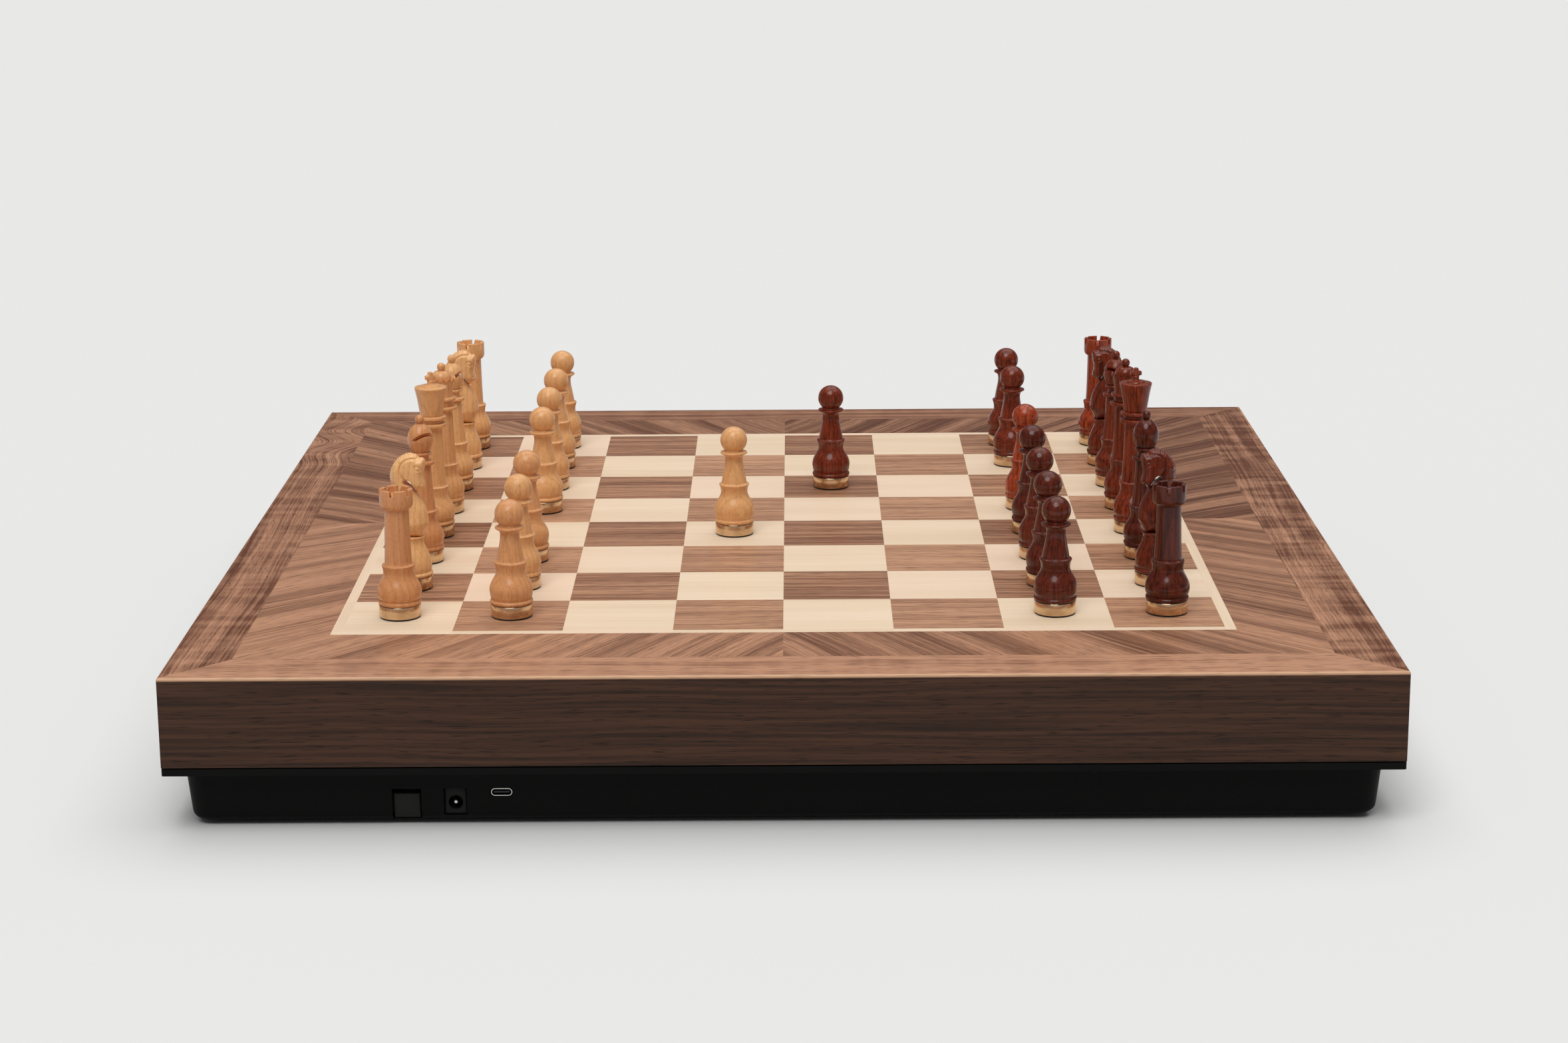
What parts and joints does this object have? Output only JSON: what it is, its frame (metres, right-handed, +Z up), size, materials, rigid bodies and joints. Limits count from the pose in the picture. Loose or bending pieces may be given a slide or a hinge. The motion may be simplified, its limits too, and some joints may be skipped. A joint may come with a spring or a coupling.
{
  "type": "electronic chess computer",
  "caption": "Self-moving electronic chessboard: inlaid walnut and maple top, black tray with power and data sockets, hidden belt-driven magnet carriage, weighted turned pieces.",
  "frame": {"origin": "on the table under the middle of the board", "axes": "+Z up; +X from the light pieces to the dark pieces; the sockets face -Y"},
  "size_m": [0.52, 0.52, 0.149],
  "materials": {
    "walnut": "satin oiled walnut with long grain",
    "maple": "satin maple veneer, fine straight grain",
    "substrate": "plain plywood core, hidden",
    "light_wood": "turned light hardwood, satin lacquer",
    "dark_wood": "turned reddish dark hardwood, glossy lacquer",
    "brass": "polished and lightly brushed feet of the pieces",
    "felt": "black felt pads under the pieces",
    "black_plastic": "fine moulded texture, satin",
    "button_plastic": "satin dark grey plastic",
    "socket_plastic": "moulded black plastic",
    "rubber": "matt black rubber",
    "steel": "bright steel",
    "aluminium": "plain anodised",
    "motor_black": "black painted steel",
    "belt_rubber": "black toothed belt rubber",
    "circuit_board": "green solder mask"
  },
  "bodies": {
    "board": {"frame_rail_front": "walnut", "frame_rail_back": "walnut", "frame_rail_left": "walnut", "frame_rail_right": "walnut", "top_panel": "substrate", "maple_inlay": "maple", "walnut_veneer": "walnut", "base_tray": "black_plastic", "rubber_feet": "rubber", "screws": "steel", "sensor_board": "circuit_board", "main_board": "circuit_board", "dc_jack": "socket_plastic", "usb_c_socket": "steel", "guide_rods": "steel", "rod_posts": "black_plastic", "y_motor": "motor_black", "y_belts": "belt_rubber"},
    "power_button": {"power_button": "button_plastic"},
    "gantry": {"gantry_beam": "aluminium", "x_motor": "motor_black", "x_belt": "belt_rubber"},
    "carriage": {"x_carriage": "black_plastic"},
    "magnet_head": {"magnet_head": "steel"},
    "y_drive_shaft": {"y_drive_shaft": "aluminium"},
    "y_idler_pulleys": {"y_idler_pulleys": "aluminium"},
    "x_drive_pulley": {"x_drive_pulley": "aluminium"},
    "x_idler_pulley": {"x_idler_pulley": "aluminium"},
    "white_rook_h": {"white_rook_h": "light_wood"},
    "white_knight_g": {"white_knight_g": "light_wood"},
    "white_bishop_f": {"white_bishop_f": "light_wood"},
    "white_king": {"white_king": "light_wood"},
    "white_queen": {"white_queen": "light_wood"},
    "white_bishop_c": {"white_bishop_c": "light_wood"},
    "white_knight_b": {"white_knight_b": "light_wood"},
    "white_rook_a": {"white_rook_a": "light_wood"},
    "white_pawn_h": {"white_pawn_h": "light_wood"},
    "white_pawn_g": {"white_pawn_g": "light_wood"},
    "white_pawn_f": {"white_pawn_f": "light_wood"},
    "white_pawn_e": {"white_pawn_e": "light_wood"},
    "white_pawn_d": {"white_pawn_d": "light_wood"},
    "white_pawn_c": {"white_pawn_c": "light_wood"},
    "white_pawn_b": {"white_pawn_b": "light_wood"},
    "white_pawn_a": {"white_pawn_a": "light_wood"},
    "black_rook_h": {"black_rook_h": "dark_wood"},
    "black_knight_g": {"black_knight_g": "dark_wood"},
    "black_bishop_f": {"black_bishop_f": "dark_wood"},
    "black_king": {"black_king": "dark_wood"},
    "black_queen": {"black_queen": "dark_wood"},
    "black_bishop_c": {"black_bishop_c": "dark_wood"},
    "black_knight_b": {"black_knight_b": "dark_wood"},
    "black_rook_a": {"black_rook_a": "dark_wood"},
    "black_pawn_h": {"black_pawn_h": "dark_wood"},
    "black_pawn_g": {"black_pawn_g": "dark_wood"},
    "black_pawn_f": {"black_pawn_f": "dark_wood"},
    "black_pawn_e": {"black_pawn_e": "dark_wood"},
    "black_pawn_d": {"black_pawn_d": "dark_wood"},
    "black_pawn_c": {"black_pawn_c": "dark_wood"},
    "black_pawn_b": {"black_pawn_b": "dark_wood"},
    "black_pawn_a": {"black_pawn_a": "dark_wood"}
  },
  "joints": [
    {"name": "button_press", "type": "slide", "parent": "board", "child": "power_button", "axis": [0, 1, 0], "range_m": [0, 0.0015], "stiffness_N_per_m": 800},
    {"name": "gantry_travel", "type": "slide", "parent": "board", "child": "gantry", "axis": [0, 1, 0], "range_m": [-0.168, 0.216]},
    {"name": "carriage_travel", "type": "slide", "parent": "gantry", "child": "carriage", "axis": [1, 0, 0], "range_m": [-0.168, 0.216]},
    {"name": "magnet_lift", "type": "slide", "parent": "carriage", "child": "magnet_head", "axis": [0, 0, 1], "range_m": [0, 0.0045]},
    {"name": "y_shaft_turn", "type": "hinge", "parent": "board", "child": "y_drive_shaft", "pos_m": [0, 0.2299, 0.019], "axis": [1, 0, 0], "continuous": true},
    {"name": "y_idler_turn", "type": "hinge", "parent": "board", "child": "y_idler_pulleys", "pos_m": [0, -0.2299, 0.019], "axis": [1, 0, 0], "continuous": true},
    {"name": "x_pulley_turn", "type": "hinge", "parent": "gantry", "child": "x_drive_pulley", "pos_m": [0.21835, -0.024, 0.039], "axis": [0, 1, 0], "continuous": true},
    {"name": "x_idler_turn", "type": "hinge", "parent": "gantry", "child": "x_idler_pulley", "pos_m": [-0.21835, -0.024, 0.039], "axis": [0, 1, 0], "continuous": true},
    {"name": "white_rook_h_lift", "type": "slide", "parent": "board", "child": "white_rook_h", "axis": [0, 0, 1], "range_m": [0, 0.1]},
    {"name": "white_knight_g_lift", "type": "slide", "parent": "board", "child": "white_knight_g", "axis": [0, 0, 1], "range_m": [0, 0.1]},
    {"name": "white_bishop_f_lift", "type": "slide", "parent": "board", "child": "white_bishop_f", "axis": [0, 0, 1], "range_m": [0, 0.1]},
    {"name": "white_king_lift", "type": "slide", "parent": "board", "child": "white_king", "axis": [0, 0, 1], "range_m": [0, 0.1]},
    {"name": "white_queen_lift", "type": "slide", "parent": "board", "child": "white_queen", "axis": [0, 0, 1], "range_m": [0, 0.1]},
    {"name": "white_bishop_c_lift", "type": "slide", "parent": "board", "child": "white_bishop_c", "axis": [0, 0, 1], "range_m": [0, 0.1]},
    {"name": "white_knight_b_lift", "type": "slide", "parent": "board", "child": "white_knight_b", "axis": [0, 0, 1], "range_m": [0, 0.1]},
    {"name": "white_rook_a_lift", "type": "slide", "parent": "board", "child": "white_rook_a", "axis": [0, 0, 1], "range_m": [0, 0.1]},
    {"name": "white_pawn_h_lift", "type": "slide", "parent": "board", "child": "white_pawn_h", "axis": [0, 0, 1], "range_m": [0, 0.1]},
    {"name": "white_pawn_g_lift", "type": "slide", "parent": "board", "child": "white_pawn_g", "axis": [0, 0, 1], "range_m": [0, 0.1]},
    {"name": "white_pawn_f_lift", "type": "slide", "parent": "board", "child": "white_pawn_f", "axis": [0, 0, 1], "range_m": [0, 0.1]},
    {"name": "white_pawn_e_slide", "type": "slide", "parent": "board", "child": "white_pawn_e", "axis": [1, 0, 0], "range_m": [-0.096, 0.096]},
    {"name": "white_pawn_d_lift", "type": "slide", "parent": "board", "child": "white_pawn_d", "axis": [0, 0, 1], "range_m": [0, 0.1]},
    {"name": "white_pawn_c_lift", "type": "slide", "parent": "board", "child": "white_pawn_c", "axis": [0, 0, 1], "range_m": [0, 0.1]},
    {"name": "white_pawn_b_lift", "type": "slide", "parent": "board", "child": "white_pawn_b", "axis": [0, 0, 1], "range_m": [0, 0.1]},
    {"name": "white_pawn_a_lift", "type": "slide", "parent": "board", "child": "white_pawn_a", "axis": [0, 0, 1], "range_m": [0, 0.1]},
    {"name": "black_rook_h_lift", "type": "slide", "parent": "board", "child": "black_rook_h", "axis": [0, 0, 1], "range_m": [0, 0.1]},
    {"name": "black_knight_g_lift", "type": "slide", "parent": "board", "child": "black_knight_g", "axis": [0, 0, 1], "range_m": [0, 0.1]},
    {"name": "black_bishop_f_lift", "type": "slide", "parent": "board", "child": "black_bishop_f", "axis": [0, 0, 1], "range_m": [0, 0.1]},
    {"name": "black_king_lift", "type": "slide", "parent": "board", "child": "black_king", "axis": [0, 0, 1], "range_m": [0, 0.1]},
    {"name": "black_queen_lift", "type": "slide", "parent": "board", "child": "black_queen", "axis": [0, 0, 1], "range_m": [0, 0.1]},
    {"name": "black_bishop_c_lift", "type": "slide", "parent": "board", "child": "black_bishop_c", "axis": [0, 0, 1], "range_m": [0, 0.1]},
    {"name": "black_knight_b_lift", "type": "slide", "parent": "board", "child": "black_knight_b", "axis": [0, 0, 1], "range_m": [0, 0.1]},
    {"name": "black_rook_a_lift", "type": "slide", "parent": "board", "child": "black_rook_a", "axis": [0, 0, 1], "range_m": [0, 0.1]},
    {"name": "black_pawn_h_lift", "type": "slide", "parent": "board", "child": "black_pawn_h", "axis": [0, 0, 1], "range_m": [0, 0.1]},
    {"name": "black_pawn_g_lift", "type": "slide", "parent": "board", "child": "black_pawn_g", "axis": [0, 0, 1], "range_m": [0, 0.1]},
    {"name": "black_pawn_f_lift", "type": "slide", "parent": "board", "child": "black_pawn_f", "axis": [0, 0, 1], "range_m": [0, 0.1]},
    {"name": "black_pawn_e_lift", "type": "slide", "parent": "board", "child": "black_pawn_e", "axis": [0, 0, 1], "range_m": [0, 0.1]},
    {"name": "black_pawn_d_lift", "type": "slide", "parent": "board", "child": "black_pawn_d", "axis": [0, 0, 1], "range_m": [0, 0.1]},
    {"name": "black_pawn_c_slide", "type": "slide", "parent": "board", "child": "black_pawn_c", "axis": [1, 0, 0], "range_m": [-0.096, 0.096]},
    {"name": "black_pawn_b_lift", "type": "slide", "parent": "board", "child": "black_pawn_b", "axis": [0, 0, 1], "range_m": [0, 0.1]},
    {"name": "black_pawn_a_lift", "type": "slide", "parent": "board", "child": "black_pawn_a", "axis": [0, 0, 1], "range_m": [0, 0.1]}
  ],
  "couplings": [
    {"joint": "y_shaft_turn", "follows": "gantry_travel", "rad_per_m": -156.99},
    {"joint": "y_idler_turn", "follows": "gantry_travel", "rad_per_m": -156.99},
    {"joint": "x_pulley_turn", "follows": "carriage_travel", "rad_per_m": 156.99},
    {"joint": "x_idler_turn", "follows": "carriage_travel", "rad_per_m": 156.99}
  ]
}
